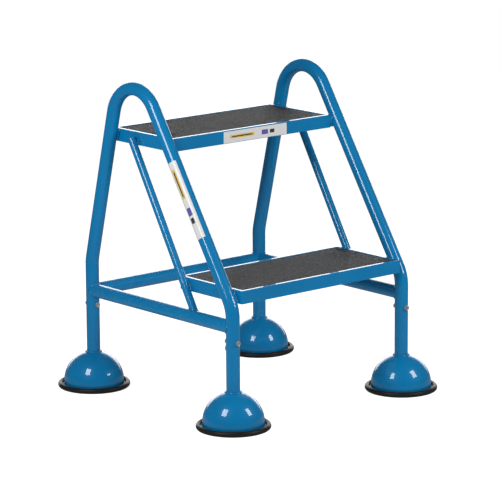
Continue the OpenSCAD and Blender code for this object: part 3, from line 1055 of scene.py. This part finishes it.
def hoop_label_frame():
    """The leaning leg's axis at the label, and the label's span along it and round it."""
    low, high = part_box("hoop_label")
    below = leg_centre(LEFT, FRONT, low.z)
    above = leg_centre(LEFT, FRONT, high.z)
    below.x = above.x = middle(HOOPS[LEFT]).x
    axis = (above - below).normalized()
    out = Vector((-1, 0, 0))
    ahead = out.cross(axis)
    spans, angles, reach = [], [], 0.0
    for vertex in frame["nodes"]["hoop_label"].data.vertices:
        step = vertex.co - below
        spans.append(step.dot(axis))
        flat = step - axis * step.dot(axis)
        angles.append(math.atan2(flat.dot(ahead), flat.dot(out)))
        reach = max(reach, flat.length)
    return below, axis, out, ahead, min(spans), max(spans), min(angles), max(angles), reach


hoop_label_data = hoop_label_frame()


def hoop_label_place(along, across, height):
    below, axis, out, ahead, start, end, first, last, reach = hoop_label_data
    angle = first + (last - first) * across
    ring = out * math.cos(angle) + ahead * math.sin(angle)
    return below + axis * (end + (start - end) * along) + ring * (reach + height)


for number, (start, end, low, high, ink) in enumerate(PRINT_BARS):
    lift = PRINT_T * (PRINT_LIFT + number % 2)
    print_bar(f"top_label_print_{number}", top_label_place, start, end, low, high, ink, lift)
    print_bar(f"hoop_label_print_{number}", hoop_label_place, start, end, low, high, ink, lift)


# ======== Floor, light and camera ========

def camera_back():
    """The direction from the object to the camera."""
    azimuth = math.radians(CAMERA_AZIMUTH)
    elevation = math.radians(CAMERA_ELEVATION)
    return Vector((
        math.sin(azimuth) * math.cos(elevation),
        -math.cos(azimuth) * math.cos(elevation),
        math.sin(elevation),
    ))


def aim(obj, position, back):
    """Puts an object at a position, upright, with its local +Z along back."""
    back = back.normalized()
    right = UP.cross(back).normalized()
    up = back.cross(right)
    turn = Matrix((right, up, back)).transposed().to_4x4()
    obj.matrix_world = Matrix.Translation(position) @ turn


def make_camera():
    back = camera_back()
    data = bpy.data.cameras.new("camera")
    data.lens = CAMERA_LENS
    data.sensor_width = CAMERA_SENSOR
    data.clip_end = CAMERA_REACH
    camera = bpy.data.objects.new("camera", data)
    bpy.context.scene.collection.objects.link(camera)
    aim(camera, CAMERA_TARGET + back * CAMERA_DISTANCE, back)
    camera.matrix_world = camera.matrix_world @ Matrix.Rotation(math.radians(CAMERA_ROLL), 4, "Z")
    bpy.context.scene.camera = camera


def make_softbox(name, position, width, height, watts):
    """An area light that looks at the middle of the object."""
    data = bpy.data.lights.new(name, "AREA")
    data.shape = "RECTANGLE"
    data.size = width
    data.size_y = height
    data.energy = watts
    lamp = bpy.data.objects.new(name, data)
    bpy.context.scene.collection.objects.link(lamp)
    aim(lamp, position, position - CAMERA_TARGET)


def make_world():
    """A white backdrop behind the object, and a dimmer room on the camera's side."""
    back = camera_back()
    world = bpy.data.worlds.new("studio")
    bpy.context.scene.world = world
    world.use_nodes = True
    world.cycles.sampling_method = "NONE"
    nodes, links = world.node_tree.nodes, world.node_tree.links
    facing = nodes.new("ShaderNodeVectorMath")
    facing.operation = "DOT_PRODUCT"
    facing.inputs[1].default_value = Vector((-back.x, -back.y, 0)).normalized()
    links.new(nodes.new("ShaderNodeTexCoord").outputs["Generated"], facing.inputs[0])

    def fade(span, levels):
        """The brightness from one level to the other, over a span of directions."""
        made = nodes.new("ShaderNodeMapRange")
        made.interpolation_type = "SMOOTHSTEP"
        ends = {"From Min": span[0], "From Max": span[1], "To Min": levels[0], "To Max": levels[1]}
        for key, number in ends.items():
            made.inputs[key].default_value = number
        links.new(facing.outputs["Value"], made.inputs["Value"])
        return made.outputs["Result"]

    path = nodes.new("ShaderNodeLightPath")
    by_gloss = nodes.new("ShaderNodeMix")
    links.new(path.outputs["Is Glossy Ray"], by_gloss.inputs[0])
    links.new(fade(LIGHT_FADE, BACKDROP_LIGHT), by_gloss.inputs[2])
    links.new(fade(MIRROR_FADE, BACKDROP_MIRRORED), by_gloss.inputs[3])
    by_camera = nodes.new("ShaderNodeMix")
    links.new(path.outputs["Is Camera Ray"], by_camera.inputs[0])
    links.new(by_gloss.outputs[0], by_camera.inputs[2])
    by_camera.inputs[3].default_value = BACKDROP_SEEN
    links.new(by_camera.outputs[0], nodes["Background"].inputs["Strength"])
    nodes["Background"].inputs["Color"].default_value = (1, 1, 1, 1)


def make_floor():
    """A pale floor that is clear from below, so that the underside can be looked at."""
    mesh = bpy.data.meshes.new("floor")
    corners = [(-1, -1), (1, -1), (1, 1), (-1, 1)]
    verts = [(x * FLOOR_HALF, y * FLOOR_HALF, -FLOOR_DROP) for x, y in corners]
    mesh.from_pydata(verts, [], [(0, 1, 2, 3)])
    floor = bpy.data.objects.new("floor", mesh)
    bpy.context.scene.collection.objects.link(floor)
    look = Look("pale_floor")
    look.finish(look.blend(look.grain(3, 4), (0.86, 0.86, 0.86), (0.90, 0.90, 0.90)), 0.8)
    look.shader.inputs["Specular IOR Level"].default_value = 0.0
    look.shader.inputs["Emission Color"].default_value = (1, 1, 1, 1)
    path = look.node("ShaderNodeLightPath")
    glow = look.ramp(path.outputs["Is Camera Ray"], 0.0, 1.0, FLOOR_LIGHT, FLOOR_SEEN)
    look.join(glow, look.shader.inputs["Emission Strength"])
    reach = look.node("ShaderNodeVectorMath", operation="LENGTH")
    look.join(look.place, reach.inputs[0])
    mirrored = look.node("ShaderNodeEmission")
    faded = look.ramp(reach.outputs["Value"], *FLOOR_FADE, *FLOOR_MIRRORED)
    look.join(faded, mirrored.inputs["Strength"])
    clear = look.node("ShaderNodeBsdfTransparent")
    above = look.node("ShaderNodeMixShader")
    look.join(path.outputs["Is Glossy Ray"], above.inputs[0])
    look.join(look.shader.outputs[0], above.inputs[1])
    look.join(mirrored.outputs[0], above.inputs[2])
    either = look.node("ShaderNodeMixShader")
    look.join(look.node("ShaderNodeNewGeometry").outputs["Backfacing"], either.inputs[0])
    look.join(above.outputs[0], either.inputs[1])
    look.join(clear.outputs[0], either.inputs[2])
    look.join(either.outputs[0], look.tree.nodes["Material Output"].inputs["Surface"])
    mesh.materials.append(look.material)


make_camera()
make_world()
make_floor()
for softbox in SOFTBOXES:
    make_softbox(*softbox)
bpy.context.scene.view_settings.view_transform = "Standard"
